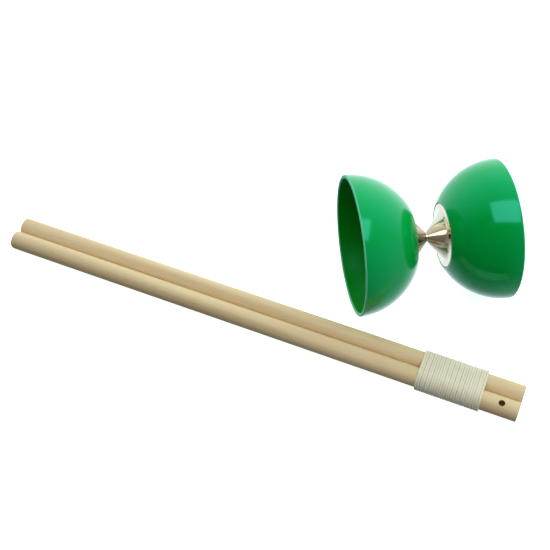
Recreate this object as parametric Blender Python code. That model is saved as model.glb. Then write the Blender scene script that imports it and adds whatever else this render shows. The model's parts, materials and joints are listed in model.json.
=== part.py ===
"""Diabolo set: a two-cup spool clamped on a steel axle, lying beside its pair of wooden
hand sticks, which are held together by the string wound round them.

Metres, +Z up. The spool's axle runs along X, and everything stands on z = 0. The origin is
the middle of the footprint of the spool and the sticks.
"""

import math

import bmesh
import bpy
from mathutils import Matrix, Vector

MM = 0.001

# Gap left between pieces that touch on the real object
FIT_GAP = 0.3 * MM

# Cups
CUP_RIM_RADIUS = 44.0 * MM
CUP_SMALL_RADIUS = 21.1 * MM
CUP_DEPTH = 37.5 * MM
CUP_WALL = 2.2 * MM
CUP_FLOOR = 3.0 * MM
CUP_RIM_ROUNDING = 0.5 * MM
CUP_LIP_WIDTH = 1.0 * MM
WAIST_GAP = 20.4 * MM  # from one cup's small end to the other's

# Hubs: polished cones with a flange let into the cup's small end
HUB_FLANGE = 0.9 * MM
HUB_NOSE_WALL = 0.6 * MM
HUB_FACE = 4.4 * MM  # from the flange's edge in to where the cone would meet its face
HUB_FILLET = 4.0 * MM
HUB_SPIGOT_RADIUS = 6.0 * MM
NECK_WIDTH = 1.0 * MM  # of bare axle between the two noses, where the string runs

# Axle and its fastenings
AXLE_RADIUS = 2.9 * MM
AXLE_END = 2.4 * MM  # that stands out of each nut
AXLE_CHAMFER = 0.6 * MM
CLAMP_WASHER_RADIUS = 12.0 * MM
CLAMP_WASHER_THICKNESS = 1.6 * MM
SPRING_WASHER_RADIUS = 5.6 * MM
SPRING_WASHER_THICKNESS = 1.5 * MM
SPRING_WASHER_SLOT = 0.8 * MM
SPRING_WASHER_SLANT = math.radians(25)
NUT_ACROSS_FLATS = 10.0 * MM
NUT_THICKNESS = 5.0 * MM
NUT_COUNTERSINK = 0.5 * MM
NUT_CORNER_SLANT = math.radians(30)  # of the turned-off corners, from the nut's face

# Hand sticks
STICK_RADIUS = 6.0 * MM
STICK_LENGTH = 344.0 * MM
STICK_CHAMFER = 0.6 * MM
STICK_HOLE_RADIUS = 1.9 * MM
STICK_HOLE_INSET = 10.6 * MM
STICK_HOLE_LEAN = {"front": math.radians(13), "rear": math.radians(-80)}  # off upright

# The wound string, as the sleeve that its turns fill
WINDING_LENGTH = 41.0 * MM
WINDING_INSET = 22.0 * MM  # from the sticks' drilled ends
WINDING_THICKNESS = 1.35 * MM
WINDING_CLEARANCE = 0.2 * MM
WINDING_CHAMFER = 0.4 * MM

# How the set is laid out: the bundle's drilled end as seen from the spool's middle
BUNDLE_FROM_SPOOL = Vector((35.5 * MM, -105.0 * MM))
BUNDLE_YAW = math.radians(-31.8)

# Fineness of the round surfaces
CUP_SEGMENTS = 48
HUB_SEGMENTS = 40
SMALL_SEGMENTS = 24
BOWL_STEPS = 10
FILLET_STEPS = 4
WINDING_SEGMENTS = 14  # round each stick
SHARP_ANGLE = math.radians(30)  # edges keener than this stay crisp
MERGE_DISTANCE = 1e-7

# Stations along the axle, out from the middle of the waist
LIP = WAIST_GAP / 2
SEAT = LIP + HUB_FLANGE + FIT_GAP
CUP_INSIDE = SEAT + CUP_FLOOR
RIM = LIP + CUP_DEPTH
WASHER_START = CUP_INSIDE + FIT_GAP
SPRING_START = WASHER_START + CLAMP_WASHER_THICKNESS + FIT_GAP
NUT_START = SPRING_START + SPRING_WASHER_THICKNESS + FIT_GAP
AXLE_TIP = NUT_START + NUT_THICKNESS + AXLE_END

BORE_RADIUS = AXLE_RADIUS + FIT_GAP
STICK_SPACING = 2 * STICK_RADIUS + FIT_GAP
WINDING_INNER = STICK_RADIUS + WINDING_CLEARANCE
WINDING_OUTER = WINDING_INNER + WINDING_THICKNESS


def clear_scene():
    for obj in list(bpy.data.objects):
        bpy.data.objects.remove(obj)


def material(name, colour, roughness, metallic=0.0):
    made = bpy.data.materials.new(name)
    made.use_nodes = True
    shader = made.node_tree.nodes["Principled BSDF"]
    shader.inputs["Base Color"].default_value = (*colour, 1)
    shader.inputs["Roughness"].default_value = roughness
    shader.inputs["Metallic"].default_value = metallic
    return made


def empty(name, place):
    made = bpy.data.objects.new(name, None)
    bpy.context.collection.objects.link(made)
    made.matrix_world = place
    return made


def add_object(name, bm, finish, parent, place=None):
    """A mesh object from bm, smooth on its round faces, at a place in its parent's frame."""
    bmesh.ops.recalc_face_normals(bm, faces=bm.faces)
    mesh = bpy.data.meshes.new(name)
    bm.to_mesh(mesh)
    bm.free()
    mesh.shade_smooth()
    mesh.set_sharp_from_angle(angle=SHARP_ANGLE)
    if finish:
        mesh.materials.append(finish)
    made = bpy.data.objects.new(name, mesh)
    bpy.context.collection.objects.link(made)
    made.parent = parent
    made.matrix_local = place or Matrix()
    return made


def arc(centre, radius, start, end, steps):
    """Points (distance from the axis, station) on an arc, angles in radians."""
    points = []
    for step in range(steps + 1):
        angle = start + (end - start) * step / steps
        points.append(
            (centre[0] + radius * math.cos(angle), centre[1] + radius * math.sin(angle))
        )
    return points


def turned(outline, segments, closed=True):
    """A bmesh: the outline, as (distance from the axis, station), spun about Z."""
    bm = bmesh.new()
    verts = [bm.verts.new((radius, 0, station)) for radius, station in outline]
    ends = zip(verts, verts[1:] + verts[:1]) if closed else zip(verts, verts[1:])
    edges = [bm.edges.new(pair) for pair in ends]
    bmesh.ops.spin(
        bm,
        geom=verts + edges,
        axis=(0, 0, 1),
        cent=(0, 0, 0),
        angle=math.tau,
        steps=segments,
        use_merge=True,
    )
    bmesh.ops.remove_doubles(bm, verts=bm.verts, dist=MERGE_DISTANCE)
    return bm


def boolean(obj, cutter, operation="DIFFERENCE"):
    cutter.hide_render = True
    cutter.display_type = "WIRE"
    modifier = obj.modifiers.new(cutter.name, "BOOLEAN")
    modifier.operation = operation
    modifier.solver = "EXACT"
    modifier.object = cutter


def cup_outline():
    """The bowl: an arc that runs out parallel to the axle at the rim, and its inner twin."""
    flare = CUP_RIM_RADIUS - CUP_SMALL_RADIUS
    sweep = (CUP_DEPTH**2 + flare**2) / (2 * flare)
    centre = (CUP_RIM_RADIUS - sweep, RIM)
    inner_sweep = sweep - CUP_WALL
    outer_angle = -math.asin(CUP_DEPTH / sweep)
    inner_angle = -math.asin((RIM - CUP_INSIDE) / inner_sweep)
    rounding = CUP_RIM_ROUNDING
    outer = arc(centre, sweep, outer_angle, -rounding / sweep, BOWL_STEPS)
    inner = arc(centre, inner_sweep, -rounding / inner_sweep, inner_angle, BOWL_STEPS)
    hole = HUB_SPIGOT_RADIUS + FIT_GAP
    seat_radius = CUP_SMALL_RADIUS - CUP_LIP_WIDTH
    return [
        *outer,
        (CUP_RIM_RADIUS - rounding, RIM),
        (CUP_RIM_RADIUS - CUP_WALL + rounding, RIM),
        *inner,
        (hole, CUP_INSIDE),
        (hole, SEAT),
        (seat_radius, SEAT),
        (seat_radius, LIP),
    ]


def hub_outline():
    """The horn: a straight cone from the nose, rolled out into a flat flange by a fillet."""
    nose = BORE_RADIUS + HUB_NOSE_WALL
    nose_station = NECK_WIDTH / 2
    flange_radius = CUP_SMALL_RADIUS - CUP_LIP_WIDTH - FIT_GAP
    corner = flange_radius - HUB_FACE
    cone_angle = math.atan2(LIP - nose_station, corner - nose)  # from the flange's face
    setback = HUB_FILLET * math.tan(cone_angle / 2)
    fillet_centre = (corner + setback, LIP - HUB_FILLET)
    fillet = arc(
        fillet_centre, HUB_FILLET, math.pi / 2 + cone_angle, math.pi / 2, FILLET_STEPS
    )
    flange_back = LIP + HUB_FLANGE
    return [
        (nose, nose_station),
        *fillet,
        (flange_radius, LIP),
        (flange_radius, flange_back),
        (HUB_SPIGOT_RADIUS, flange_back),
        (HUB_SPIGOT_RADIUS, CUP_INSIDE - FIT_GAP),
        (BORE_RADIUS, CUP_INSIDE - FIT_GAP),
        (BORE_RADIUS, nose_station),
    ]


def axle_outline():
    return [
        (0, AXLE_TIP),
        (AXLE_RADIUS - AXLE_CHAMFER, AXLE_TIP),
        (AXLE_RADIUS, AXLE_TIP - AXLE_CHAMFER),
        (AXLE_RADIUS, -AXLE_TIP + AXLE_CHAMFER),
        (AXLE_RADIUS - AXLE_CHAMFER, -AXLE_TIP),
        (0, -AXLE_TIP),
    ]


def ring_outline(inner, outer, start, thickness):
    return [
        (inner, start),
        (outer, start),
        (outer, start + thickness),
        (inner, start + thickness),
    ]


def stick_outline():
    return [
        (0, 0),
        (STICK_RADIUS - STICK_CHAMFER, 0),
        (STICK_RADIUS, -STICK_CHAMFER),
        (STICK_RADIUS, -STICK_LENGTH + STICK_CHAMFER),
        (STICK_RADIUS - STICK_CHAMFER, -STICK_LENGTH),
        (0, -STICK_LENGTH),
    ]


def add_spring_washer(name, finish, parent, side):
    outline = ring_outline(
        BORE_RADIUS, SPRING_WASHER_RADIUS, SPRING_START, SPRING_WASHER_THICKNESS
    )
    washer = add_object(name, turned(outline, SMALL_SEGMENTS), finish, parent, side)
    slot = bmesh.new()
    bmesh.ops.create_cube(slot, size=1)
    size = (2 * SPRING_WASHER_RADIUS, SPRING_WASHER_SLOT, 4 * SPRING_WASHER_THICKNESS)
    bmesh.ops.scale(slot, verts=slot.verts, vec=size)
    middle = SPRING_START + SPRING_WASHER_THICKNESS / 2
    place = Matrix.Translation((SPRING_WASHER_RADIUS, 0, middle))
    slant = Matrix.Rotation(SPRING_WASHER_SLANT, 4, "X")
    boolean(washer, add_object(name + "_slot", slot, None, parent, side @ place @ slant))


def add_nut(name, finish, parent, side):
    """A hexagon with its corners turned off on both faces and a countersunk bore."""
    corner_radius = NUT_ACROSS_FLATS / math.sqrt(3)
    flat_radius = NUT_ACROSS_FLATS / 2
    half = NUT_THICKNESS / 2
    place = side @ Matrix.Translation((0, 0, NUT_START + half))
    hexagon = bmesh.new()
    bmesh.ops.create_cone(
        hexagon,
        cap_ends=True,
        segments=6,
        radius1=corner_radius,
        radius2=corner_radius,
        depth=NUT_THICKNESS,
    )
    nut = add_object(name, hexagon, finish, parent, place)
    beyond = corner_radius + FIT_GAP
    drop = (beyond - flat_radius) * math.tan(NUT_CORNER_SLANT)
    blank = [
        (0, half),
        (flat_radius, half),
        (beyond, half - drop),
        (beyond, drop - half),
        (flat_radius, -half),
        (0, -half),
    ]
    turning = turned(blank, SMALL_SEGMENTS, closed=False)
    boolean(nut, add_object(name + "_turning", turning, None, parent, place), "INTERSECT")
    mouth = BORE_RADIUS + NUT_COUNTERSINK
    past = half + NUT_COUNTERSINK
    bore = [
        (0, past),
        (mouth + NUT_COUNTERSINK, past),
        (BORE_RADIUS, half - NUT_COUNTERSINK),
        (BORE_RADIUS, NUT_COUNTERSINK - half),
        (mouth + NUT_COUNTERSINK, -past),
        (0, -past),
    ]
    drilling = turned(bore, SMALL_SEGMENTS, closed=False)
    boolean(nut, add_object(name + "_bore", drilling, None, parent, place))


def add_stick(side, offset, finish, parent):
    along = Matrix.Rotation(math.pi / 2, 4, "Y")  # the stick's own Z runs along the bundle
    place = Matrix.Translation((0, offset, 0)) @ along
    name = "hand_stick_" + side
    outline = stick_outline()
    stick = add_object(
        name, turned(outline, SMALL_SEGMENTS, closed=False), finish, parent, place
    )
    drill = bmesh.new()
    bmesh.ops.create_cone(
        drill,
        cap_ends=True,
        segments=SMALL_SEGMENTS,
        radius1=STICK_HOLE_RADIUS,
        radius2=STICK_HOLE_RADIUS,
        depth=4 * STICK_RADIUS,
    )
    lean = Matrix.Rotation(STICK_HOLE_LEAN[side], 4, "Z")
    across = Matrix.Rotation(math.pi / 2, 4, "Y")
    inset = Matrix.Translation((0, 0, -STICK_HOLE_INSET))
    boolean(stick, add_object(name + "_drill", drill, None, parent, place @ inset @ lean @ across))


def winding_mesh():
    """The sleeve of string: its cut-through section carried round both sticks."""
    near = -WINDING_INSET
    far = near - WINDING_LENGTH
    eased = WINDING_OUTER - WINDING_CHAMFER
    section = [
        (WINDING_INNER, near),
        (eased, near),
        (WINDING_OUTER, near - WINDING_CHAMFER),
        (WINDING_OUTER, far + WINDING_CHAMFER),
        (eased, far),
        (WINDING_INNER, far),
    ]
    bm = bmesh.new()
    loops = []
    for offset, start in ((STICK_SPACING / 2, -math.pi / 2), (-STICK_SPACING / 2, math.pi / 2)):
        for step in range(WINDING_SEGMENTS + 1):
            angle = start + math.pi * step / WINDING_SEGMENTS
            across, up = math.cos(angle), math.sin(angle)
            loops.append(
                [bm.verts.new((x, offset + r * across, r * up)) for r, x in section]
            )
    for loop, following in zip(loops, loops[1:] + loops[:1]):
        for corner in range(len(section)):
            after = (corner + 1) % len(section)
            bm.faces.new((loop[corner], loop[after], following[after], following[corner]))
    return bm


def bundle_tilt():
    """The sticks lean on the wound string, and their far ends come down to the ground."""
    rise = WINDING_OUTER - STICK_RADIUS
    return math.asin(rise / (STICK_LENGTH - WINDING_INSET - WINDING_LENGTH))


def footprint_middle(spool_half_length):
    """The middle of the box round spool and sticks, seen from the spool's middle."""
    along = Vector((math.cos(BUNDLE_YAW), math.sin(BUNDLE_YAW)))
    across = Vector((-along.y, along.x))
    low = Vector((-spool_half_length, -CUP_RIM_RADIUS))
    high = -low
    for distance in (0, STICK_LENGTH):
        for side in (-1, 1):
            end = BUNDLE_FROM_SPOOL - along * distance + across * side * STICK_SPACING / 2
            reach = Vector((abs(across.x), abs(across.y))) * STICK_RADIUS
            low = Vector(map(min, low, end - reach))
            high = Vector(map(max, high, end + reach))
    return (low + high) / 2


def build_spool(axle, finishes):
    outward = {"right": Matrix(), "left": Matrix.Rotation(math.pi, 4, "X")}
    for side, place in outward.items():
        cup = turned(cup_outline(), CUP_SEGMENTS)
        add_object("cup_" + side, cup, finishes["cup"], axle, place)
        hub = turned(hub_outline(), HUB_SEGMENTS)
        add_object("hub_" + side, hub, finishes["nickel"], axle, place)
        washer = ring_outline(
            BORE_RADIUS, CLAMP_WASHER_RADIUS, WASHER_START, CLAMP_WASHER_THICKNESS
        )
        add_object(
            "clamp_washer_" + side,
            turned(washer, SMALL_SEGMENTS),
            finishes["zinc"],
            axle,
            place,
        )
        add_spring_washer("spring_washer_" + side, finishes["zinc"], axle, place)
        add_nut("lock_nut_" + side, finishes["zinc"], axle, place)
    rod = turned(axle_outline(), SMALL_SEGMENTS, closed=False)
    add_object("axle_rod", rod, finishes["nickel"], axle)


def build_bundle(bundle, finishes):
    add_stick("front", -STICK_SPACING / 2, finishes["wood"], bundle)
    add_stick("rear", STICK_SPACING / 2, finishes["wood"], bundle)
    add_object("string_winding", winding_mesh(), finishes["string"], bundle)


def main():
    clear_scene()
    finishes = {
        "cup": material("green_plastic", (0.0, 0.32, 0.075), 0.18),
        "nickel": material("polished_nickel", (0.66, 0.62, 0.56), 0.12, 1.0),
        "zinc": material("zinc_steel", (0.58, 0.60, 0.62), 0.32, 1.0),
        "wood": material("pale_beech", (0.62, 0.43, 0.24), 0.55),
        "string": material("cotton_string", (0.70, 0.67, 0.55), 0.9),
    }
    middle = footprint_middle(RIM)
    turn = Matrix.Rotation(math.pi / 2, 4, "Y")  # the axle's own Z runs along X
    spool_at = Matrix.Translation((-middle.x, -middle.y, CUP_RIM_RADIUS))
    build_spool(empty("spool_axle", spool_at @ turn), finishes)

    tilt = bundle_tilt()
    reach = WINDING_INSET + WINDING_LENGTH
    height = WINDING_OUTER * math.cos(tilt) + reach * math.sin(tilt)
    bundle_at = Matrix.Translation((*(BUNDLE_FROM_SPOOL - middle), height))
    yaw = Matrix.Rotation(BUNDLE_YAW, 4, "Z")
    lean = Matrix.Rotation(-tilt, 4, "Y")
    build_bundle(empty("stick_bundle", bundle_at @ yaw @ lean), finishes)


main()
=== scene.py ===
# %% [markdown]
# A diabolo is a spool of two bowls on a metal axle. It is spun and thrown on a string that
# runs between two hand sticks. Here it is at rest: the spool lies on its rims, and the sticks
# are held side by side by their own string, wound round both.
#
# The working model is loaded first. Its bodies and joints say where everything is, so each
# piece below takes its place from them, and most of its sizes.

# %% Load the working model
import json
import math

import bmesh
import bpy
import numpy as np
from mathutils import Matrix, Vector


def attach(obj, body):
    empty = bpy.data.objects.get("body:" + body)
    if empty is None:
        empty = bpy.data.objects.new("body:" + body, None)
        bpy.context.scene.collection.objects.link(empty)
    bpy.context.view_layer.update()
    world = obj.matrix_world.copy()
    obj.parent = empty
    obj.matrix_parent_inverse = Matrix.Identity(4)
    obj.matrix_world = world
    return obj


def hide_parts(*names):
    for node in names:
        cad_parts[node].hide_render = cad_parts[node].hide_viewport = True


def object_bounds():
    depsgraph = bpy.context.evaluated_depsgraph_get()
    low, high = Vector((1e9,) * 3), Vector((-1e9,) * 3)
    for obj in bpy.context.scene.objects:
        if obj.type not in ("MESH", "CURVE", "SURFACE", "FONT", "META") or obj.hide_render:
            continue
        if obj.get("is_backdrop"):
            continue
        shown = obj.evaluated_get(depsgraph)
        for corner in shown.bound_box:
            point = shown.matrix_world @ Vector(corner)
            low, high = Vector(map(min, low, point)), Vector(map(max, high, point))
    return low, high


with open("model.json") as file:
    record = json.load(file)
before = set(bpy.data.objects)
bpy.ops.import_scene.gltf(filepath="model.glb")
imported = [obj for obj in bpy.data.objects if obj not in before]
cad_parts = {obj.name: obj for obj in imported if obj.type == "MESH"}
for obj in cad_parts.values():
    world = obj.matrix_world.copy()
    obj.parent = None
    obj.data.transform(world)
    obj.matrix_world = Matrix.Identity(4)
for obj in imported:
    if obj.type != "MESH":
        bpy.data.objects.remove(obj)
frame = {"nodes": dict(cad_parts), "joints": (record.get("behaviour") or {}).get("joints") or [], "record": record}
working_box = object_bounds()
MM = 0.001
print("working model, mm:", [round(side / MM, 1) for side in working_box[1] - working_box[0]])

# %% [markdown]
# The camera stands in front of the set and well above it, a little to the left of square on.
# From there the left bowl shows its open mouth and the right one its back. A long lens keeps
# the near and the far end of the sticks almost the same thickness. Everything else follows
# from this view, so it is settled before any piece is made.

# %% The camera
CAMERA_AZIMUTH = math.radians(-8.77)
CAMERA_ELEVATION = math.radians(51.64)
CAMERA_DISTANCE = 0.6588
CAMERA_AIM = Vector((0.0158, 0.0334, 0.0))
LENS_MM = 65.45


def sky_direction(azimuth, elevation):
    """Towards a point of the sky; azimuth 0 is the front, and it grows to the right."""
    level = math.cos(elevation)
    return Vector(
        (math.sin(azimuth) * level, -math.cos(azimuth) * level, math.sin(elevation))
    )


def add_camera():
    data = bpy.data.cameras.new("camera")
    data.lens = LENS_MM
    camera = bpy.data.objects.new("camera", data)
    bpy.context.collection.objects.link(camera)
    away = sky_direction(CAMERA_AZIMUTH, CAMERA_ELEVATION)
    camera.location = CAMERA_AIM + away * CAMERA_DISTANCE
    camera.rotation_euler = (-away).to_track_quat("-Z", "Y").to_euler()
    bpy.context.scene.camera = camera
    return camera


camera = add_camera()
print("camera, mm:", [round(side / MM) for side in camera.location])

# %% [markdown]
# Two lines carry the whole set: the spool's axle, and the middle line of the two sticks. Both
# come from the model's joints. A place on a line is a station, in millimetres: out from the
# middle of the spool, or in from the sticks' drilled ends. Each piece is drawn about its own
# Z axis, which is one of these lines, and then set down in its place.

# %% The two lines that everything hangs on
joints = {joint["name"]: joint for joint in frame["joints"]}
mounts = {mount["name"]: mount for mount in frame["record"]["mounts"]}


def facing(origin, forward, up):
    """A place whose own Z runs forward, and whose own X points up."""
    turn = Matrix((up, forward.cross(up), forward)).transposed()
    return Matrix.Translation(origin) @ turn.to_4x4()


def measured(node, place):
    """A node's vertices in a place's own axes, in millimetres."""
    inverse = place.inverted()
    return np.array([inverse @ vertex.co for vertex in frame["nodes"][node].data.vertices]) / MM


spool_middle = Vector(joints["spool_spin"]["pos_m"])
X, Z = Vector((1, 0, 0)), Vector((0, 0, 1))
AXLE = {"right": facing(spool_middle, X, Z), "left": facing(spool_middle, -X, Z)}

along = Vector(joints["front_stick_slide"]["axis"]).normalized()
above = along.cross(Z.cross(along)).normalized()
front_end = Vector(mounts["drilled_stick_end"]["pos_m"])
front_line = facing(front_end, along, above)
rear_stick = measured("hand_stick_rear", front_line)
STICK_GAP = abs(rear_stick[:, 1].max() + rear_stick[:, 1].min()) / 2  # middle line to middle line
STICKS = front_line @ Matrix.Translation((0, -STICK_GAP / 2 * MM, 0))
print("sticks' middle lines stand", round(STICK_GAP, 2), "mm apart")

# %% [markdown]
# The string is the one limp piece, and it decides what room it needs, so it comes before the
# hard ones. It is about 1.9 m of thin twisted cotton, wound side by side round both sticks. A
# turn is a racetrack: half round one stick, straight over the valley between the two, half
# round the other and straight back underneath. To lock such a winding, one lays the first end
# along the valley under the turns and slips the last end in from the other side, so both bare
# ends are out of sight.
#
# The route is one line of points, worked out in the sticks' own axes: X up, Y towards the
# front stick, Z towards the drilled ends. On a stick the string lies on a cylinder, which
# rolls out flat, so the bend at each end is a quarter circle drawn on the flat sheet.

# %% The string's route
STRING_THICK = 1.35
STRING_TURNS = 27
STRING_STEP = 0.45  # from point to point
STRING_TUCK = 15.0  # of each end, straight along the valley
STRING_BEND = 4.4  # radius of the bend from the valley into the turns
STRING_SWAY = 0.07  # by which a turn strays from its place
SWAY_WAVES = ((0.043, 1.0, 0.0), (0.0911, 0.8, 1.0))  # radians per mm, share, start

sleeve = measured("string_winding", STICKS)
STRING_RADIUS = sleeve[:, 0].max() - STRING_THICK / 2  # of a turn, round a stick's middle line
HALF_GAP = STICK_GAP / 2
HALF_ROUND = math.pi * STRING_RADIUS
TURN_LENGTH = 2 * (HALF_ROUND + STICK_GAP)
VALLEY = math.pi + math.asin(HALF_GAP / STRING_RADIUS)  # the angle where both sticks are touched
UP, DOWN = Vector((1, 0, 0)), Vector((-1, 0, 0))


def on_stick(side, angle, station):
    """A point of the string, and the way out from the stick; 0 is its top, pi its underside."""
    out = Vector((math.cos(angle), side * math.sin(angle), 0))
    return Vector((0, side * HALF_GAP, station)) + out * STRING_RADIUS, out


def on_turn(distance, station):
    """The same, at a distance along a turn from the underside of the front stick."""
    if distance < HALF_ROUND:
        return on_stick(1, math.pi - distance / STRING_RADIUS, station)
    distance -= HALF_ROUND
    if distance < STICK_GAP:
        return Vector((STRING_RADIUS, HALF_GAP - distance, station)), UP
    distance -= STICK_GAP
    if distance < HALF_ROUND:
        return on_stick(-1, distance / STRING_RADIUS, station)
    return Vector((-STRING_RADIUS, distance - HALF_ROUND - HALF_GAP, station)), DOWN


def spaced(length):
    """Distances from 0 towards a length, a step apart, without the last one."""
    return np.linspace(0, length, round(length / STRING_STEP), endpoint=False)


def tucked_end(side, station, inward):
    """From a bare end along the valley, round the bend, to the underside of its stick."""
    valley = [
        on_stick(side, VALLEY, station + inward * (STRING_BEND + STRING_TUCK - distance))
        for distance in spaced(STRING_TUCK)
    ]
    bend = []
    for distance in spaced(STRING_BEND * math.pi / 2):
        swing = distance / STRING_BEND
        angle = VALLEY - STRING_BEND * (1 - math.cos(swing)) / STRING_RADIUS
        bend.append(on_stick(side, angle, station + inward * STRING_BEND * (1 - math.sin(swing))))
    left = (VALLEY - math.pi) * STRING_RADIUS - STRING_BEND
    round_under = [
        on_stick(side, math.pi + (left - distance) / STRING_RADIUS, station)
        for distance in spaced(left)
    ]
    return valley + bend + round_under


def sway(distance):
    """Hand winding is never even: slow waves that fall out of step from turn to turn."""
    waves = [share * math.sin(pace * distance + start) for pace, share, start in SWAY_WAVES]
    return STRING_SWAY * sum(waves) / sum(share for _, share, _ in SWAY_WAVES)


def string_route():
    room = STRING_THICK / 2 + 2 * STRING_SWAY
    first, last = sleeve[:, 2].max() - room, sleeve[:, 2].min() + room
    wound = STRING_TURNS * TURN_LENGTH - STICK_GAP
    turns = []
    for distance in spaced(wound):
        ease = min(distance, wound - distance, TURN_LENGTH) / TURN_LENGTH
        station = first + (last - first) * distance / wound + ease * sway(distance)
        turns.append(on_turn(distance % TURN_LENGTH, station))
    return tucked_end(1, first, -1) + turns + tucked_end(-1, last, 1)[::-1]


route = string_route()

# %% [markdown]
# Three strands twisted together make the string. Its cross-section is therefore a soft
# three-lobed round, and it turns as it goes along, which gives the slanting ridges of a rope.
# The mesh is that section, swept along the route. In each ring one direction points out from
# the stick, so the section stays flat where the turns press on each other and on the wood.
# Every vertex also keeps how far along the string it is, for the cotton's own pattern later.

# %% Sweep the string
STRING_SIDES = 12
STRANDS = 3
STRAND_RIDGE = 0.07  # of the thickness
STRING_LAY = 8.0  # in which the strands go once round
STRING_SPREAD = 1.16  # width along the stick to height off it


def sweep_string(route):
    points = np.array([point for point, _ in route])
    outward = np.array([out for _, out in route])
    forward = np.gradient(points, axis=0)
    aside = np.cross(forward, outward)
    aside /= np.linalg.norm(aside, axis=1)[:, None]
    gone = np.concatenate([[0], np.cumsum(np.linalg.norm(np.diff(points, axis=0), axis=1))])
    round_it = np.linspace(0, math.tau, STRING_SIDES, endpoint=False)
    twist = STRANDS * (round_it[None, :] - math.tau * gone[:, None] / STRING_LAY)
    size = STRING_THICK / 2 * (1 - STRAND_RIDGE + STRAND_RIDGE * np.cos(twist))
    high = (size * np.cos(round_it))[:, :, None] * outward[:, None, :]
    wide = (size * np.sin(round_it) * STRING_SPREAD)[:, :, None] * aside[:, None, :]
    rings = points[:, None, :] + high + wide
    lay = np.stack([gone[:, None] + 0 * twist, np.cos(twist), np.sin(twist)], axis=2)
    return rings.reshape(-1, 3), lay.reshape(-1, 3)


def tube_faces(rings, sides):
    """Quads between rings, and a cap on each end."""
    faces = []
    for ring in range(rings - 1):
        for side in range(sides):
            after = (side + 1) % sides
            here, there = ring * sides, (ring + 1) * sides
            faces.append((here + side, here + after, there + after, there + side))
    last = (rings - 1) * sides
    return faces + [tuple(range(sides))[::-1], tuple(range(last, last + sides))]


def add_piece(name, vertices, faces, place, smooth_below=35):
    """A mesh piece from millimetres in its own axes, closed and facing out, in its place."""
    mesh = bpy.data.meshes.new(name)
    mesh.from_pydata([tuple(vertex) for vertex in np.asarray(vertices) * MM], [], faces)
    shape = bmesh.new()
    shape.from_mesh(mesh)
    bmesh.ops.recalc_face_normals(shape, faces=shape.faces)
    shape.to_mesh(mesh)
    shape.free()
    mesh.shade_smooth()
    mesh.set_sharp_from_angle(angle=math.radians(smooth_below))
    piece = bpy.data.objects.new(name, mesh)
    bpy.context.collection.objects.link(piece)
    piece.matrix_world = place
    return piece


string_vertices, string_lay = sweep_string(route)
wound_string = add_piece(
    "wound_string",
    string_vertices,
    tube_faces(len(route), STRING_SIDES),
    STICKS,
    smooth_below=80,
)
lay = wound_string.data.attributes.new("lay", "FLOAT_VECTOR", "POINT")
lay.data.foreach_set("vector", string_lay.ravel())
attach(wound_string, "sticks")
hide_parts("string_winding")
string_path = [STICKS @ (point * MM) for point, _ in route]
print("string mesh:", len(wound_string.data.polygons), "faces")

# %% [markdown]
# The spool's pieces are all turned or moulded round one axis. One can draw such a piece as an
# outline, a loop of (station, radius) points on one side of the axis, and spin it. Real edges
# are never knife sharp, and it is the narrow rounded edge that catches the light, so each
# corner of an outline may carry a rounding, which the helper below swaps for a small arc.

# %% Outlines and the lathe
EDGE_STEPS = 5


def eased(corners):
    """An outline from (station, radius, rounding) corners, each rolled over by its rounding."""
    outline = []
    for index, (station, radius, rounding) in enumerate(corners):
        here = np.array([station, radius])
        if not rounding:
            outline.append(here)
            continue
        before = np.array(corners[index - 1][:2]) - here
        after = np.array(corners[(index + 1) % len(corners)][:2]) - here
        before, after = before / np.linalg.norm(before), after / np.linalg.norm(after)
        half = math.acos(np.clip(before @ after, -1, 1)) / 2
        middle = (before + after) / np.linalg.norm(before + after)
        centre = here + middle * rounding / math.sin(half)
        start = here + before * rounding / math.tan(half) - centre
        end = here + after * rounding / math.tan(half) - centre
        sweep = math.pi - 2 * half
        for step in range(EDGE_STEPS + 1):
            share = step / EDGE_STEPS
            blend = math.sin((1 - share) * sweep) * start + math.sin(share * sweep) * end
            outline.append(centre + blend / math.sin(sweep))
    return np.array(outline)


def lathe(outline, segments):
    """Vertices and faces of a closed outline of (station, radius), spun about Z."""
    angles = np.linspace(0, math.tau, segments, endpoint=False)
    radius = outline[:, 1][None, :]
    around = [radius * np.cos(angles)[:, None], radius * np.sin(angles)[:, None]]
    height = outline[:, 0][None, :] + 0 * angles[:, None]
    vertices = np.stack([*around, height], axis=2).reshape(-1, 3)
    count = len(outline)
    faces = []
    for turn in range(segments):
        here, there = turn * count, (turn + 1) % segments * count
        for point in range(count):
            after = (point + 1) % count
            faces.append((here + point, here + after, there + after, there + point))
    return vertices, faces


def ring_of(node):
    """(lowest station, highest station, inner radius, outer radius) of a node on the axle."""
    points = measured(node, AXLE["right"])
    radius = np.hypot(points[:, 0], points[:, 1])
    return points[:, 2].min(), points[:, 2].max(), radius.min(), radius.max()


print("a washer's ring:", [round(float(size), 1) for size in ring_of("clamp_washer_right")])

# %% [markdown]
# A cup is a bowl whose wall follows one arc, from the narrow lip at the waist to the rim,
# where it runs out parallel to the axle. Three sizes settle the arc: where the lip is, where
# the rim is, and that the arc is level at the rim. Its middle lies in the plane of the rim.

# %% The bowl's arc
CUP_WALL = 2.2
SAME = 0.1  # stations closer than this are one

LIP, RIM, CUP_HOLE, RIM_RADIUS = ring_of("cup_right")
cup_points = measured("cup_right", AXLE["right"])
at_lip = cup_points[cup_points[:, 2] < LIP + SAME]
LIP_RADIUS = np.hypot(at_lip[:, 0], at_lip[:, 1]).max()
FLARE = RIM_RADIUS - LIP_RADIUS
BOWL_SWEEP = ((RIM - LIP) ** 2 + FLARE**2) / (2 * FLARE)
BOWL_MIDDLE = RIM_RADIUS - BOWL_SWEEP
print("the bowl's arc:", round(BOWL_SWEEP, 2), "mm, round a point", round(BOWL_MIDDLE, 2), "mm off")

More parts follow.
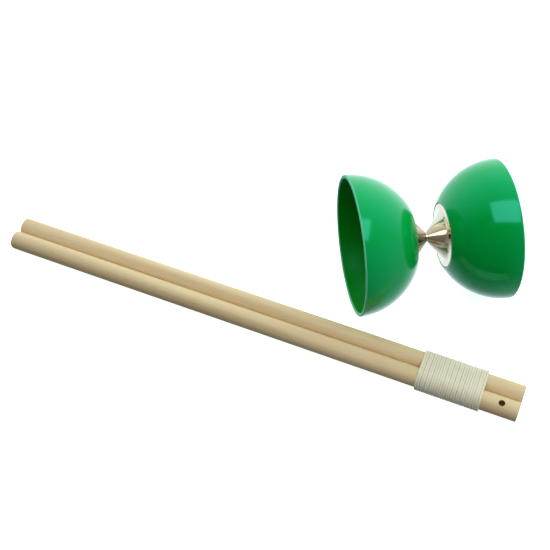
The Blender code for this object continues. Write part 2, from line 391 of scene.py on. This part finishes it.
# %% [markdown]
# A material is a small program that runs at every point of a surface. Most of it is sums, so
# one class wraps a socket of the node tree and lets Python's own signs build them: adding or
# multiplying two wrapped values adds a Math node. Any other node comes from its one method,
# node(), which takes the settings first, because they decide which sockets there are.

# %% Shader sums as Python sums
class Flow:
    """A value that flows from a socket; sums on it add Math nodes to its material."""

    def __init__(self, tree, socket=None):
        self.tree = tree
        self.socket = socket

    def node(self, kind, inputs, output=0, stops=(), **settings):
        made = self.tree.nodes.new("ShaderNode" + kind)
        for name, value in settings.items():
            setattr(made, name, value)
        for index, (place, colour) in enumerate(stops):
            ramp = made.color_ramp.elements
            stop = ramp[index] if index < len(ramp) else ramp.new(place)
            stop.position, stop.color = place, (*colour, 1)
        for name, value in inputs.items():
            if isinstance(value, Flow):
                self.tree.links.new(value.socket, made.inputs[name])
            else:
                made.inputs[name].default_value = value
        return Flow(self.tree, made.outputs[output])

    def math(self, operation, first, second=0.0):
        return self.node("Math", {0: first, 1: second}, operation=operation)

    def __add__(self, other):
        return self.math("ADD", self, other)

    def __sub__(self, other):
        return self.math("SUBTRACT", self, other)

    def __rsub__(self, other):
        return self.math("SUBTRACT", other, self)

    def __mul__(self, other):
        return self.math("MULTIPLY", self, other)

    __radd__ = __add__
    __rmul__ = __mul__


def between(flow, low, high):
    """0 below low, 1 above high and a straight ramp from one to the other."""
    return flow.node("MapRange", {"Value": flow, "From Min": low, "From Max": high})


def mixed(share, first, second):
    """From the first colour to the second as the share goes from 0 to 1."""
    colours = [c if isinstance(c, Flow) else (*c, 1) for c in (first, second)]
    inputs = {0: share, 6: colours[0], 7: colours[1]}
    return share.node("Mix", inputs, output=2, data_type="RGBA")


def noise(place, scale, detail=2.0, roughness=0.5, **stretch):
    """Cloudy noise at so many clouds to the metre; stretch gives a factor for each axis."""
    factors = tuple(stretch.get(axis, 1.0) for axis in "xyz")
    at = place.node("Mapping", {"Vector": place, "Scale": factors})
    inputs = {"Vector": at, "Scale": scale, "Detail": detail, "Roughness": roughness}
    return place.node("TexNoise", inputs)


class Finish:
    """A material with one Principled shader. Even values go straight onto its sockets."""

    def __init__(self, name, **even):
        self.material = bpy.data.materials.new(name)
        self.material.use_nodes = True
        self.shader = self.material.node_tree.nodes["Principled BSDF"]
        for socket, value in even.items():
            self.shader.inputs[socket.replace("_", " ")].default_value = value
        flow = Flow(self.material.node_tree)
        self.place = flow.node("TexCoord", {}, output=3)  # metres, in the piece's own axes

    def feed(self, socket, flow):
        self.material.node_tree.links.new(flow.socket, self.shader.inputs[socket])

    def relief(self, height, depth, strength=1.0):
        """Lets a 0 to 1 height stand out by a depth in millimetres."""
        inputs = {"Height": height, "Distance": depth * MM, "Strength": strength}
        self.feed("Normal", height.node("Bump", inputs))


def give(finish, *pieces):
    for piece in pieces:
        piece.data.materials.clear()
        piece.data.materials.append(finish.material)


print("shader tools are ready")

# %% [markdown]
# The cups are moulded in one go from tough, glossy green plastic that gives a little when a
# throw is missed. The colour is mixed into the plastic, so it is nearly even, and the life of
# the surface is in its gloss. A mould leaves a skin with very low, wide waves, which show only
# as a slight wobble in reflections, and use adds faint rubbed patches that are less shiny.
# A green this pure reflects hardly any red, not even in its highlights, so the gloss is tinted.
# Only the outside comes off a polished mould. The inside is duller, and is painted a deeper
# green: painted shade in the hollow of the bowl. The rim is painted pale and matt, a painted
# highlight along its roll. So one recipe makes three finishes.

# %% Green plastic
def green_plastic(name, dark, light, roughness, **even):
    finish = Finish(name, IOR=1.5, **even)
    cloud = between(noise(finish.place, 22.0, detail=3.0), 0.3, 0.7)
    finish.feed("Base Color", mixed(cloud, dark, light))
    rubbed = between(noise(finish.place, 70.0, detail=6.0, roughness=0.65), 0.5, 0.75)
    finish.feed("Roughness", roughness + 0.10 * rubbed)
    waves = noise(finish.place, 60.0, detail=1.0)
    finish.relief(waves, 0.03, strength=0.6)
    return finish


cup_finishes = [
    green_plastic(
        "green_outside",
        (0.0, 0.36, 0.048),
        (0.0, 0.385, 0.056),
        0.13,
        Specular_Tint=(0.2, 1.35, 1.45, 1),
    ),
    # Painted shade: the inside's darker green stands for the shade in the hollow of the bowl.
    green_plastic(
        "green_inside_painted_shade",
        (0.0, 0.27, 0.006),
        (0.0, 0.29, 0.01),
        0.40,
        Specular_IOR_Level=0.3,
        Specular_Tint=(0.2, 1.0, 0.7, 1),
    ),
    # Painted highlight: the rim's pale, matt green stands for the light caught by its roll.
    green_plastic("green_rim_painted_highlight", (0.10, 0.60, 0.32), (0.16, 0.66, 0.38), 0.45, Specular_IOR_Level=0.1),
]
print("nodes in the plastic:", len(cup_finishes[0].material.node_tree.nodes))

# %% [markdown]
# The wall of a cup is the arc outside, and the same arc inside, a wall's thickness further in,
# down to a flat floor that the axle's washer presses on. The rim is rolled over softly, for
# the sake of fingers, and that roll is painted pale round the mouth: a painted highlight.

# %% The two cups
CUP_SEGMENTS = 240
BOWL_STEPS = 44
RIM_EASE = 0.75
RIM_HIGHLIGHT_SHARE = 0.9  # of the rim's rounding that is painted pale, a painted highlight
LIP_EASE = 0.4
FLOOR_FILLET = 1.6
LIP_WIDTH = 1.0
FIT_GAP = 0.3  # that the working model leaves between pieces that touch
FLANGE_THICK = 0.9

FLOOR = ring_of("clamp_washer_right")[0] - FIT_GAP
SEAT = LIP + FLANGE_THICK + FIT_GAP


def bowl(sweep, start, end):
    """Corners along the bowl's arc of that radius, which is level at the rim."""
    turn = [math.asin((RIM - station) / sweep) for station in (start, end)]
    return [
        (RIM - sweep * math.sin(angle), BOWL_MIDDLE + sweep * math.cos(angle), 0)
        for angle in np.linspace(*turn, BOWL_STEPS)
    ]


def cup_outline():
    inner_sweep = BOWL_SWEEP - CUP_WALL
    inside = bowl(inner_sweep, RIM - 2 * RIM_EASE, FLOOR + 2 * FLOOR_FILLET)
    floor_radius = bowl(inner_sweep, FLOOR, RIM)[0][1]
    seat_radius = LIP_RADIUS - LIP_WIDTH
    return eased(
        [
            (LIP, LIP_RADIUS, LIP_EASE),
            *bowl(BOWL_SWEEP, LIP + 2 * LIP_EASE, RIM - 2 * RIM_EASE),
            (RIM, RIM_RADIUS, RIM_EASE),
            (RIM, RIM_RADIUS - CUP_WALL, RIM_EASE),
            *inside,
            (FLOOR, floor_radius, FLOOR_FILLET),
            (FLOOR, CUP_HOLE, 0),
            (SEAT, CUP_HOLE, 0),
            (SEAT, seat_radius, 0),
            (LIP, seat_radius, LIP_EASE),
        ]
    )


def add_turned(name, outline, segments, side, finish, node):
    piece = add_piece(name, *lathe(outline, segments), AXLE[side])
    give(finish, piece)
    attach(piece, "spool")
    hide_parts(node)
    return piece


def dress_cup(cup):
    """Gives the inside faces their darker finish, painted shade, and the rim a painted highlight."""
    for finish in cup_finishes[1:]:
        cup.data.materials.append(finish.material)
    for face in cup.data.polygons:
        station = face.center.z / MM
        off_axle = math.hypot(face.center.x, face.center.y) / MM
        away = math.hypot(station - RIM, off_axle - BOWL_MIDDLE)
        # Painted highlight: the faces of the rim's roll take the pale green.
        if station > RIM - RIM_EASE * RIM_HIGHLIGHT_SHARE:
            face.material_index = 2
        # Painted shade: the inside faces take the darker green.
        elif away < BOWL_SWEEP - CUP_WALL / 2:
            face.material_index = 1


for side in AXLE:
    cup = add_turned(
        "bowl_" + side,
        cup_outline(),
        CUP_SEGMENTS,
        side,
        cup_finishes[0],
        "cup_" + side,
    )
    dress_cup(cup)
print("a bowl:", len(cup.data.polygons), "faces; arc radius", round(BOWL_SWEEP, 2), "mm")

# %% [markdown]
# The horns between the bowls are polished nickel-plated metal. Polished metal has almost no
# colour of its own, only a slightly warm grey, and shows the room instead. What tells it from
# plain chrome is the lathe: the tool leaves rings finer than a hair round the axis, and they
# drag every reflection out a little. Here the rings are noise that changes only with the
# distance out from the axis and along it, so it is the same all the way round.

# %% Polished nickel
def ring_noise(finish, rings_per_mm, detail=2.0):
    """Noise in rings round the piece's own Z axis."""
    level = finish.place.node("Mapping", {"Vector": finish.place, "Scale": (1, 1, 0)})
    radius = finish.place.node("VectorMath", {0: level}, output=1, operation="LENGTH")
    height = finish.place.node("SeparateXYZ", {"Vector": finish.place}, output=2)
    inputs = {"W": radius + height, "Scale": rings_per_mm / MM, "Detail": detail}
    return finish.place.node("TexNoise", inputs, noise_dimensions="1D")


def polished_nickel():
    finish = Finish("polished_nickel", Metallic=1.0)
    rings = ring_noise(finish, 5.0)
    cloud = between(noise(finish.place, 260.0, detail=4.0), 0.35, 0.7)
    finish.feed("Base Color", mixed(cloud, (0.77, 0.66, 0.55), (0.68, 0.575, 0.47)))
    finish.feed("Roughness", 0.07 + 0.07 * rings + 0.05 * cloud)
    finish.relief(rings, 0.002)
    return finish


nickel = polished_nickel()
print("nodes in the nickel:", len(nickel.material.node_tree.nodes))

# %% [markdown]
# Each horn is a turned cone that ends in a flat flange, let into the lip of the bowl. Where
# the cone meets the flange it is rolled out with a generous fillet, so that the string cannot
# catch. At its back a short spigot carries the bowl. The bore is a close fit on the axle.

# %% The two horns
HORN_SEGMENTS = 160
NOSE_RADIUS = 3.6
NOSE_EASE = 0.5
HORN_FILLET = 4.0
FLANGE_FACE = 4.4  # from the flange's edge to where the cone would meet it
FLANGE_EASE = 0.15
SPIGOT_RADIUS = 6.0
BORE_PLAY = 0.04

NOSE, SPIGOT_END, _, FLANGE_RADIUS = ring_of("hub_right")
AXLE_RADIUS = ring_of("axle_rod")[3]
BORE = AXLE_RADIUS + BORE_PLAY


def horn_outline():
    return eased(
        [
            (NOSE, NOSE_RADIUS, NOSE_EASE),
            (LIP, FLANGE_RADIUS - FLANGE_FACE, HORN_FILLET),
            (LIP, FLANGE_RADIUS, FLANGE_EASE),
            (LIP + FLANGE_THICK, FLANGE_RADIUS, 0),
            (LIP + FLANGE_THICK, SPIGOT_RADIUS, 0),
            (SPIGOT_END, SPIGOT_RADIUS, 0),
            (SPIGOT_END, BORE, 0),
            (NOSE, BORE, 0),
        ]
    )


for side in AXLE:
    horn = add_turned(
        "horn_" + side,
        horn_outline(),
        HORN_SEGMENTS,
        side,
        nickel,
        "hub_" + side,
    )
print("a horn:", len(horn.data.polygons), "faces")

# %% [markdown]
# The axle is a 6 mm rod with a thread at each end. A thread is a ridge that climbs by its
# pitch in one turn: at a given angle the ridges stand a pitch apart, and going round shifts
# them along. So the radius of the rod is one formula of station and angle, and the mesh is a
# fine grid with that radius. The ridges fade in at the thread's start and out at the tip.

# %% The axle
THREAD_PITCH = 1.0
THREAD_DEPTH = 0.55
THREAD_START = 14.0
THREAD_STEP = 0.1
TIP_CHAMFER = 0.6
AXLE_SEGMENTS = 48
AXLE_TIP = ring_of("axle_rod")[1]


def axle_mesh():
    ends = np.arange(THREAD_START, AXLE_TIP, THREAD_STEP)
    stations = np.concatenate([-AXLE_TIP, -ends[::-1], ends, AXLE_TIP], axis=None)
    angles = np.linspace(0, math.tau, AXLE_SEGMENTS, endpoint=False)
    along_thread = stations[:, None] / THREAD_PITCH - angles[None, :] / math.tau
    valley = np.abs(along_thread % 1 * 2 - 1)
    inside = np.clip((np.abs(stations) - THREAD_START) / THREAD_PITCH, 0, 1)[:, None]
    radius = AXLE_RADIUS - THREAD_DEPTH * valley * inside
    cone = AXLE_RADIUS - TIP_CHAMFER + (AXLE_TIP - np.abs(stations))[:, None]
    radius = np.minimum(radius, cone)
    height = stations[:, None] + 0 * radius
    grid = np.stack([radius * np.cos(angles), radius * np.sin(angles), height], axis=2)
    return grid.reshape(-1, 3), tube_faces(len(stations), AXLE_SEGMENTS)


axle = add_piece("threaded_axle", *axle_mesh(), AXLE["right"])
give(nickel, axle)
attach(axle, "spool")
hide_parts("axle_rod")
print("axle:", round(2 * AXLE_TIP, 1), "mm long,", len(axle.data.polygons), "faces")

# %% [markdown]
# The fastenings deep in each bowl are plain zinc-plated steel: a broad washer that spreads
# the load over the plastic, a split spring washer and a nut. Zinc is duller and bluer than
# nickel and never quite even, because the plating grows in crystals of different gloss.

# %% Zinc plate
def zinc_plate():
    finish = Finish("zinc_plate", Metallic=1.0)
    crystals = noise(finish.place, 900.0, detail=5.0, roughness=0.6)
    finish.feed("Base Color", mixed(crystals, (0.50, 0.53, 0.57), (0.66, 0.68, 0.70)))
    finish.feed("Roughness", 0.22 + 0.22 * between(crystals, 0.35, 0.7))
    finish.relief(crystals, 0.01)
    return finish


zinc = zinc_plate()
print("nodes in the zinc:", len(zinc.material.node_tree.nodes))

# %% [markdown]
# The broad washer is stamped, so its edges are slightly rolled over. The spring washer is a
# bar bent once round with a slanting cut. It is not spun but swept: a rounded square carried
# round the axis, a little higher at the end than at the start. The nut is a hexagon at every
# height, and its radius as a function of the angle is a flat's distance over a cosine. Its
# corners are turned off: past the flats' own radius the face falls away at thirty degrees.

# %% Washers and nuts
WASHER_EASE = 0.25
WASHER_BORE = 3.2
WASHER_SEGMENTS = 96
SPRING_WIDTH = 2.3
SPRING_PLAY = 0.02  # to the washer under it and the nut over it
SPRING_RISE = 0.25
SPRING_GAP = math.radians(10)
SPRING_SLANT = 0.35  # by which the cut leans round the axle
SPRING_SQUARE = 8  # how soon the lean is gone, away from the cut
SPRING_STEPS = 120
NUT_STEPS_PER_SIDE = 12
NUT_COUNTERSINK = 0.5
NUT_FACE = 0.985  # of the flats' radius, to where the face is turned
NUT_EDGE = 0.04  # by which the turned corner starts below the face
NUT_SLANT = math.tan(math.radians(30))

washer_start, washer_end, _, WASHER_RADIUS = ring_of("clamp_washer_right")
nut_start, nut_end, _, NUT_CORNER = ring_of("lock_nut_right")
NUT_FLAT = NUT_CORNER * math.cos(math.pi / 6)


def washer_outline():
    return eased(
        [
            (FLOOR, WASHER_BORE, 0),
            (FLOOR, WASHER_RADIUS, WASHER_EASE),
            (washer_end, WASHER_RADIUS, WASHER_EASE),
            (washer_end, WASHER_BORE, WASHER_EASE),
        ]
    )


def spring_mesh():
    low = washer_end + SPRING_PLAY
    high = nut_start - SPRING_PLAY - SPRING_RISE
    section = eased(
        [
            (low, WASHER_BORE, WASHER_EASE),
            (low, WASHER_BORE + SPRING_WIDTH, WASHER_EASE),
            (high, WASHER_BORE + SPRING_WIDTH, WASHER_EASE),
            (high, WASHER_BORE, WASHER_EASE),
        ]
    )
    rings = []
    for share in np.linspace(0, 1, SPRING_STEPS):
        lean = SPRING_SLANT * (1 - 2 * share) ** SPRING_SQUARE
        slant = lean * (section[:, 0] - low) / WASHER_BORE
        angle = SPRING_GAP + share * (math.tau - 2 * SPRING_GAP) + slant
        station = section[:, 0] + share * SPRING_RISE
        ring = [section[:, 1] * np.cos(angle), section[:, 1] * np.sin(angle), station]
        rings.append(np.stack(ring, axis=1))
    return np.concatenate(rings), tube_faces(SPRING_STEPS, len(section))


def nut_mesh():
    angles = np.linspace(0, math.tau, 6 * NUT_STEPS_PER_SIDE, endpoint=False)
    reach = NUT_FLAT / np.cos((angles + math.pi / 6) % (math.pi / 3) - math.pi / 6)
    even = np.ones_like(angles)
    drop = (reach - NUT_FLAT) * NUT_SLANT
    loops = [
        (BORE * even, nut_start + NUT_COUNTERSINK * even),
        ((BORE + NUT_COUNTERSINK) * even, nut_start * even),
        (NUT_FLAT * NUT_FACE * even, nut_start * even),
        (reach, nut_start + drop + NUT_EDGE),
        (reach, nut_end - drop - NUT_EDGE),
        (NUT_FLAT * NUT_FACE * even, nut_end * even),
        ((BORE + NUT_COUNTERSINK) * even, nut_end * even),
        (BORE * even, nut_end - NUT_COUNTERSINK * even),
    ]
    radius = np.array([loop[0] for loop in loops])
    station = np.array([loop[1] for loop in loops])
    points = np.stack([radius * np.cos(angles), radius * np.sin(angles), station], axis=2)
    count, sides = len(loops), len(angles)
    faces = []
    for loop in range(count):
        here, there = loop * sides, (loop + 1) % count * sides
        for side in range(sides):
            after = (side + 1) % sides
            faces.append((here + side, here + after, there + after, there + side))
    return points.reshape(-1, 3), faces


def add_fastening(name, vertices, faces, side, node):
    piece = add_piece(name, vertices, faces, AXLE[side], smooth_below=25)
    give(zinc, piece)
    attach(piece, "spool")
    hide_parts(node)
    return piece


for side in AXLE:
    broad = lathe(washer_outline(), WASHER_SEGMENTS)
    add_fastening("broad_washer_" + side, *broad, side, "clamp_washer_" + side)
    add_fastening("split_washer_" + side, *spring_mesh(), side, "spring_washer_" + side)
    nut = add_fastening("axle_nut_" + side, *nut_mesh(), side, "lock_nut_" + side)
print("a nut:", round(2 * NUT_FLAT, 1), "mm across its flats,", len(nut.data.polygons), "faces")

# %% [markdown]
# The sticks are pale beech dowel, sanded and left bare. Beech has no bold figure. It has long
# faint streaks where a growth ring runs out through the side of the dowel, finer lines along
# the fibres, and its own mark: short dark flecks, a few millimetres long and thin as a pencil
# line, all pointing along the grain. Each of these is noise drawn out along the stick. Bare
# end grain drinks up dirt, so the ends are a little darker.

# %% Beech
def pale_beech(name, shift):
    """Beech from a place in the tree that is a shift away, so that no two sticks match."""
    finish = Finish(name, IOR=1.45, Specular_IOR_Level=0.35)
    moved = {"Vector": finish.place, "Location": (shift, -shift, shift)}
    place = finish.place.node("Mapping", moved)
    streaks = between(noise(place, 170.0, detail=3.0, z=0.035), 0.32, 0.68)
    fibres = noise(place, 1500.0, detail=4.0, roughness=0.6, z=0.02)
    cells = {"Vector": place.node("Mapping", {"Vector": place, "Scale": (1, 1, 0.11)})}
    cells |= {"Scale": 900.0, "Randomness": 1.0}
    distance = place.node("TexVoronoi", cells)
    kept = place.node("SeparateColor", {"Color": place.node("TexVoronoi", cells, output=1)})
    flecks = (1 - between(distance, 0.1, 0.26)) * between(kept, 0.45, 0.6)
    height = finish.place.node("SeparateXYZ", {"Vector": finish.place}, output=2) * (1 / MM)
    drilled_end = between(height, -0.5, -0.1)
    plain_end = between(height + STICK_LENGTH, 0.5, 0.1)
    ends = drilled_end + plain_end
    wood = mixed(streaks, (0.83, 0.635, 0.375), (0.74, 0.53, 0.285))
    wood = mixed(0.22 * between(fibres, 0.35, 0.7), wood, (0.52, 0.37, 0.20))
    wood = mixed(0.38 * flecks, wood, (0.36, 0.23, 0.11))
    wood = mixed(0.45 * ends, wood, (0.55, 0.41, 0.24))
    finish.feed("Base Color", wood)
    finish.feed("Roughness", 0.5 + 0.18 * fibres)
    finish.relief(fibres - 0.5 * flecks, 0.05, strength=0.5)
    return finish


def bored_beech_painted_shade():
    """The wall of a drilled hole, rough, in a dark brown that is painted shade inside the hole."""
    finish = Finish("bored_beech_painted_shade", IOR=1.45, Specular_IOR_Level=0.2)
    rough = noise(finish.place, 2500.0, detail=4.0)
    # Painted shade: the wall's brown is far darker than the beech of the stick.
    finish.feed("Base Color", mixed(rough, (0.34, 0.20, 0.075), (0.50, 0.32, 0.13)))
    finish.feed("Roughness", 0.7 + 0.2 * rough)
    finish.relief(rough, 0.1)
    return finish


bored = bored_beech_painted_shade()
print("two kinds of beech")

# %% [markdown]
# A stick is a dowel with its ends rubbed round, and one hole through it near the drilled end,
# through which the string is threaded for play. The hole is a real one: a drill-shaped solid
# is taken away from the dowel with a Boolean, so light falls in at the mouth and dies inside.
# The sticks have turned in the winding, so one hole looks up and the other one to the back.

# %% The two sticks
STICK_SEGMENTS = 96
STICK_RING = 4.0
DRILL_SEGMENTS = 48
DRILL_PAST = 2.0  # by which the drill stands out of the stick
REAR_SHIFT = 0.37
END_EASE = {"drilled": 0.7, "plain": 1.3}
HOLE_RADIUS = 1.9
HOLE_EASE = 0.3
HOLE_INSET = 10.6
HOLE_LEAN = {"front": math.radians(13), "rear": math.radians(-80)}  # from up, towards the front

stick_box = measured("hand_stick_rear", STICKS)
STICK_RADIUS = (stick_box[:, 0].max() - stick_box[:, 0].min()) / 2
STICK_LENGTH = stick_box[:, 2].max() - stick_box[:, 2].min()
print("a stick:", round(2 * STICK_RADIUS, 1), "mm thick and", round(STICK_LENGTH, 1), "mm long")


def stick_outline():
    """From the drilled end's middle round the side to the plain end's middle."""
    rings = np.arange(-STICK_RING, STICK_RING - STICK_LENGTH, -STICK_RING)
    drilled, plain = END_EASE["drilled"], END_EASE["plain"]
    side = [(station, STICK_RADIUS, 0) for station in rings]
    ends = [(0, 0, 0), (0, STICK_RADIUS, drilled), *side]
    return eased([*ends, (-STICK_LENGTH, STICK_RADIUS, plain), (-STICK_LENGTH, 0, 0)])


def drill_outline():
    past = STICK_RADIUS + DRILL_PAST
    mouth = STICK_RADIUS - HOLE_EASE
    wide = HOLE_RADIUS + (past - mouth)
    corners = [(-past, 0), (-past, wide), (-mouth, HOLE_RADIUS)]
    return np.array(corners + [(-station, radius) for station, radius in corners[::-1]])


def add_stick(end, side, shift, body):
    line = STICKS @ Matrix.Translation((0, side * HALF_GAP * MM, 0))
    stick = add_piece("hand_dowel_" + end, *lathe(stick_outline(), STICK_SEGMENTS), line)
    lean = Matrix.Rotation(HOLE_LEAN[end], 4, "Z") @ Matrix.Rotation(math.pi / 2, 4, "Y")
    hole = line @ Matrix.Translation((0, 0, -HOLE_INSET * MM)) @ lean
    drill = add_piece("drill", *lathe(drill_outline(), DRILL_SEGMENTS), hole)
    cut = stick.modifiers.new("hole", "BOOLEAN")
    cut.solver = "EXACT"
    cut.object = drill
    drilled = stick.evaluated_get(bpy.context.evaluated_depsgraph_get())
    stick.data = bpy.data.meshes.new_from_object(drilled)
    stick.modifiers.clear()
    bpy.data.objects.remove(drill)
    give(pale_beech("pale_beech_" + end, shift), stick)
    # The faces of the hole's wall take the darker finish, painted shade.
    stick.data.materials.append(bored.material)
    for face in stick.data.polygons:
        off_axis = math.hypot(face.center.x, face.center.y) / MM
        near_hole = abs(face.center.z / MM + HOLE_INSET) < HOLE_RADIUS
        face.material_index = int(near_hole and off_axis < STICK_RADIUS - HOLE_EASE)
    stick.data.set_sharp_from_angle(angle=math.radians(35))
    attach(stick, body)
    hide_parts("hand_stick_" + end)
    return stick


add_stick("front", 1, 0.0, "front_stick")
stick = add_stick("rear", -1, REAR_SHIFT, "sticks")
print("a drilled stick:", len(stick.data.polygons), "faces")

# %% [markdown]
# Natural cotton is a warm greenish white. The grooves between the strands are painted darker
# and browner than the ridges: painted shade in the grooves. Along each strand run fibres fine
# enough to be only a roughness. The pattern uses the distance along the string that the sweep
# stored with every vertex, so it follows each turn round.

# %% Cotton
def cotton():
    finish = Finish(
        "twisted_cotton",
        Specular_IOR_Level=0.15,
        Sheen_Weight=0.35,
        Sheen_Roughness=0.5,
        Sheen_Tint=(1.0, 0.98, 0.9, 1),
    )
    lay = finish.place.node("Attribute", {}, output=1, attribute_name="lay")
    # Painted shade: darker and browner in the grooves between the strands, paler on their ridges.
    groove_shade = 0.5 + 0.5 * lay.node("SeparateXYZ", {"Vector": lay}, output=1)
    fibres = noise(lay, 1.6, detail=3.0, x=1.5, y=3.0, z=3.0)
    soiling = between(noise(finish.place, 170.0, detail=3.0), 0.35, 0.7)
    thread = mixed(groove_shade, (0.84, 0.755, 0.57), (0.90, 0.82, 0.625))
    thread = mixed(0.5 * fibres, thread, (0.90, 0.83, 0.66))
    thread = mixed(0.25 * soiling, thread, (0.72, 0.63, 0.46))
    finish.feed("Base Color", thread)
    finish.feed("Roughness", 0.85 + 0.1 * fibres)
    finish.relief(fibres, 0.12, strength=0.7)
    return finish


give(cotton(), wound_string)
print("string finished")

# %% [markdown]
# The set lies on a plain white sheet in a plain light. One large square lamp hangs level above
# it, in line with the camera, and gives the shine on the bowls its shape. The rest comes from
# the room, a soft gradient: brightest behind the set, where a white wall would stand, less so
# to the right, and nearly black in front of it and to the left. That is what models round
# things. The sheet itself throws no light back up and does not show in the polished pieces,
# which see a dim glow in its place, straight below them. A white tent stands round it all,
# and only the camera sees it.

# %% The white sheet and the light
SHEET_SIZE = 8.0
SHEET_DROP = 0.0002
TENT_RADIUS = 3.5
SHEET_GLOW = 0.85
LAMP_HEIGHT = 1.0
LAMP_SIZE = (0.84, 0.64)
LAMP_PLACE = (0.07, -0.25)
LAMP_POWER = 5.2
ROOM_DIM = 0.02
ROOM_BACK = 1.25
ROOM_RIGHT = 0.64
ROOM_BELOW = 0.38
ROOM_COLOUR = (0.84, 1.0, 1.04)
FROM_RIGHT, FROM_BACK, FROM_BELOW = (-0.2, 0.8), (-0.2, 0.8), (-0.55, -0.9)


def add_sheet():
    bpy.ops.mesh.primitive_plane_add(size=SHEET_SIZE, location=(0, 0, -SHEET_DROP))
    sheet = bpy.context.object
    sheet.name = "white_sheet"
    finish = Finish(
        "white_paper",
        Base_Color=(0.9, 0.9, 0.9, 1),
        Specular_IOR_Level=0.0,
        Emission_Color=(1, 1, 1, 1),
        Emission_Strength=SHEET_GLOW,
    )
    finish.feed("Roughness", 0.9 + 0.05 * noise(finish.place, 400.0))
    give(finish, sheet)
    sheet.visible_diffuse = False
    sheet.visible_glossy = False
    sheet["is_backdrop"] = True


def add_tent():
    """White walls and ceiling that only the camera sees, for views from low down."""
    bpy.ops.mesh.primitive_uv_sphere_add(radius=TENT_RADIUS)
    tent = bpy.context.object
    tent.name = "white_tent"
    finish = Finish(
        "white_cloth",
        Base_Color=(0, 0, 0, 1),
        Specular_IOR_Level=0.0,
        Emission_Color=(1, 1, 1, 1),
        Emission_Strength=1.0,
    )
    finish.feed("Roughness", 0.9 + 0.05 * noise(finish.place, 2.0))
    give(finish, tent)
    tent.visible_diffuse = tent.visible_glossy = tent.visible_shadow = False
    tent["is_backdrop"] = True


def add_lamp():
    data = bpy.data.lights.new("softbox", "AREA")
    data.shape = "RECTANGLE"
    data.size, data.size_y = LAMP_SIZE
    data.energy = LAMP_POWER
    lamp = bpy.data.objects.new("softbox", data)
    bpy.context.collection.objects.link(lamp)
    lamp.location = (*LAMP_PLACE, LAMP_HEIGHT)
    lamp.rotation_euler.z = CAMERA_AZIMUTH


def light_room():
    world = bpy.data.worlds.new("pale room")
    world.use_nodes = True
    tree = world.node_tree
    towards = Flow(tree).node("TexCoord", {}, output=0)
    ways = [towards.node("SeparateXYZ", {"Vector": towards}, output=axis) for axis in range(3)]
    right, back = between(ways[0], *FROM_RIGHT), between(ways[1], *FROM_BACK)
    below = between(ways[2], *FROM_BELOW)
    glow = ROOM_DIM + ROOM_BACK * back + ROOM_RIGHT * right + ROOM_BELOW * below
    tree.links.new(glow.socket, tree.nodes["Background"].inputs["Strength"])
    tree.nodes["Background"].inputs["Color"].default_value = (*ROOM_COLOUR, 1)
    bpy.context.scene.world = world


add_sheet()
add_tent()
add_lamp()
light_room()
bpy.context.scene.view_settings.view_transform = "Standard"
print("lights are on")

# %% [markdown]
# Last, the finished set is measured, and its size is printed beside that of the working model.

# %% Measure and finish
visible_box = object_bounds()
for name, box in (("working model", working_box), ("visible model", visible_box)):
    print(name, "mm:", [round(side / MM, 1) for side in box[1] - box[0]])
